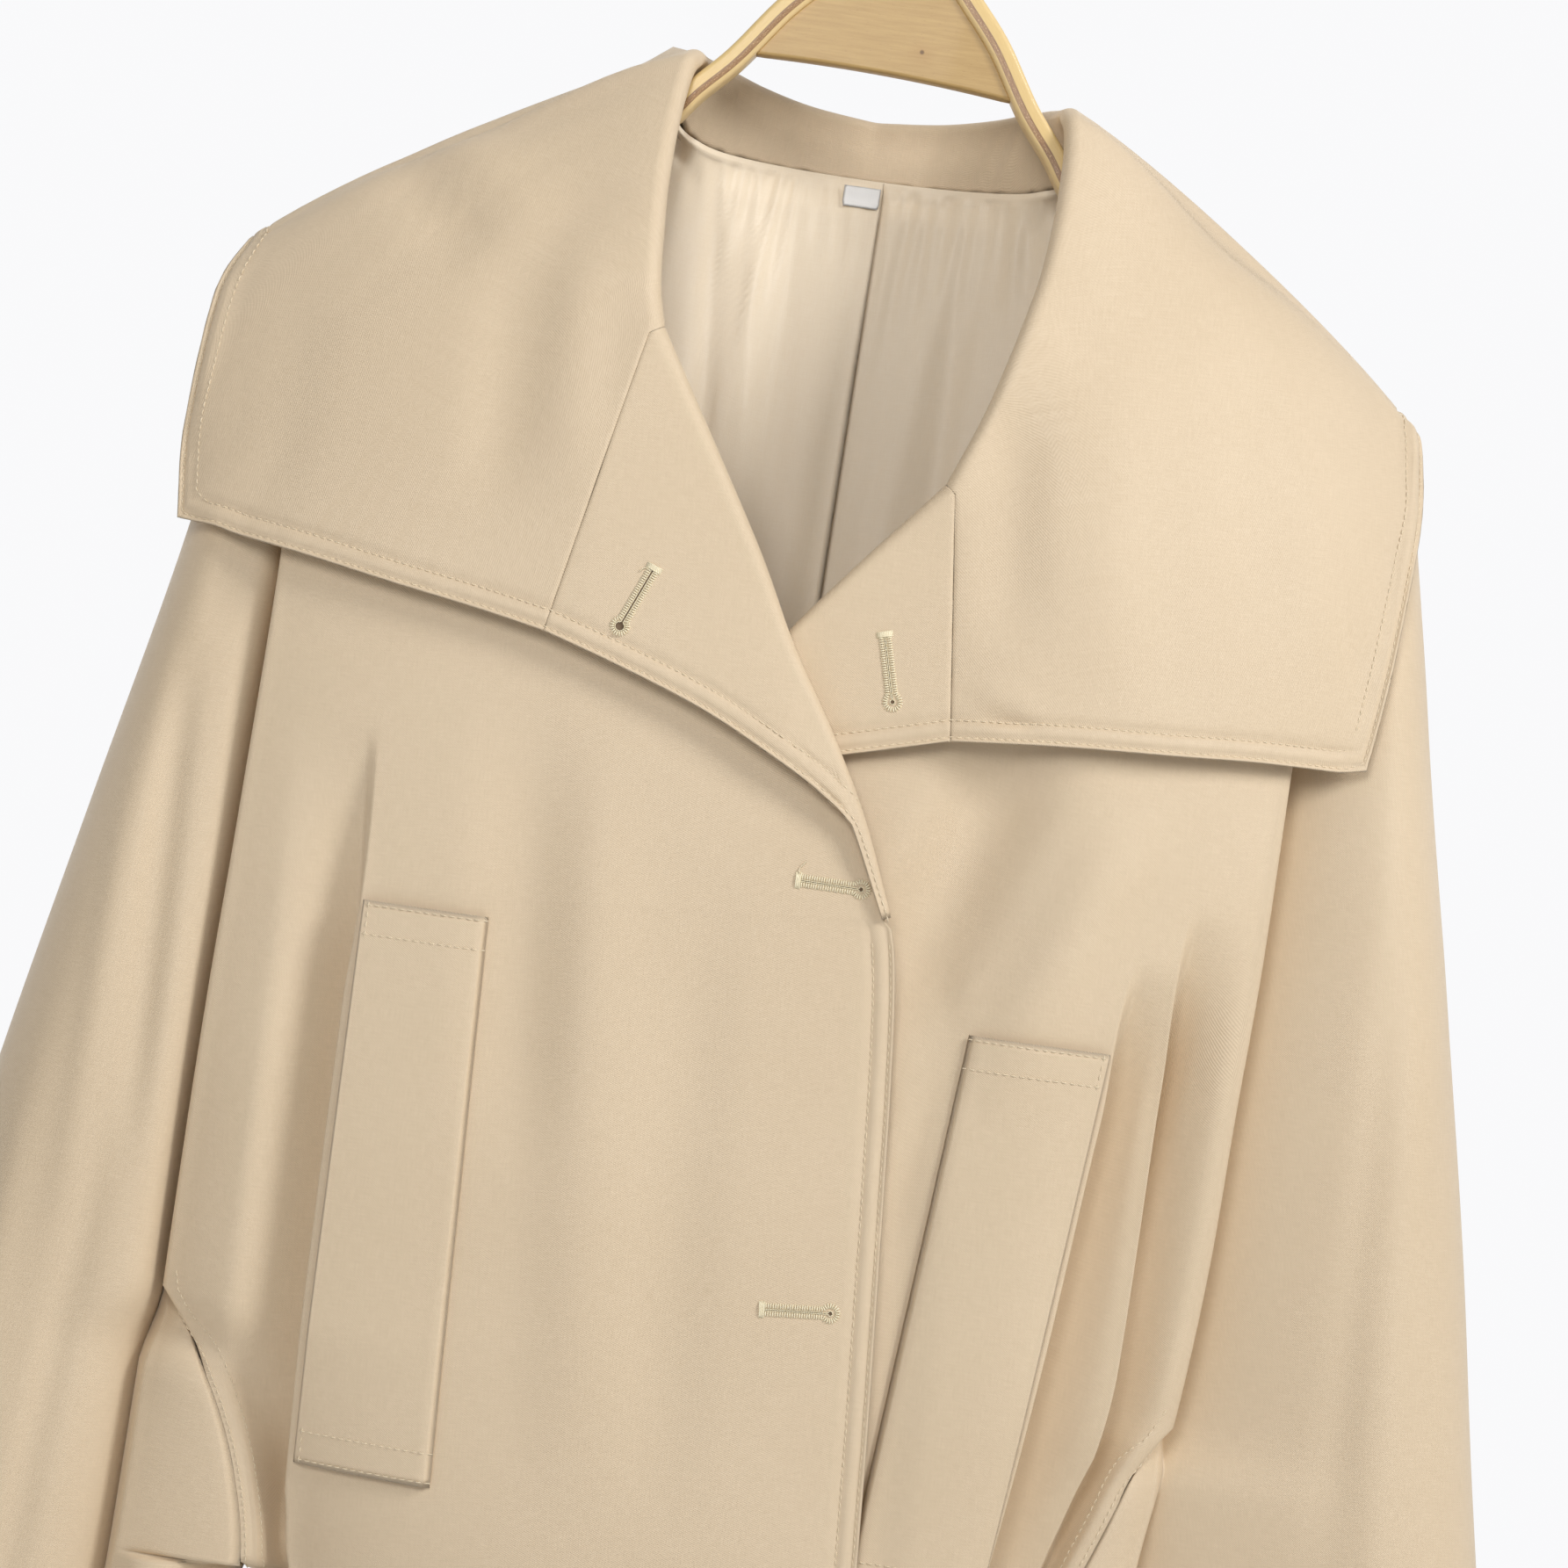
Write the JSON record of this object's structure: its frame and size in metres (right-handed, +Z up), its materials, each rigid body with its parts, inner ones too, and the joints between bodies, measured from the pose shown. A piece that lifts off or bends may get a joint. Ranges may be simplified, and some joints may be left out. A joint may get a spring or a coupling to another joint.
{
  "type": "belted trench coat on a wooden hanger",
  "caption": "Belted beige trench coat with a very wide turned-down collar, asymmetric lapped front and slanted welt pockets, on a plywood hanger.",
  "frame": {"origin": "inner top of the hanger's hook, where it rests on a rail", "axes": "+Z up, the coat's front faces -Y, +X is the wearer's left"},
  "size_m": [0.624, 0.1994, 1.2061],
  "materials": {
    "coat_twill": "satin twill",
    "lining_satin": "soft satin",
    "label_tape": "matt",
    "plywood": "clear lacquer",
    "hook_steel": "polished wire"
  },
  "bodies": {
    "root": {"front_right": "coat_twill", "front_left": "coat_twill", "back": "coat_twill", "sleeve_right_front": "coat_twill", "sleeve_right_back": "coat_twill", "sleeve_left_front": "coat_twill", "sleeve_left_back": "coat_twill", "collar": "coat_twill", "lapel_right": "coat_twill", "lapel_left": "coat_twill", "welt_right": "coat_twill", "welt_left": "coat_twill", "belt": "coat_twill", "belt_knot": "coat_twill", "belt_tail_right": "coat_twill", "belt_tail_left": "coat_twill", "lining_back_right": "lining_satin", "lining_back_left": "lining_satin", "size_label": "label_tape", "hanger_body": "plywood", "hanger_hook": "hook_steel"}
  },
  "joints": []
}
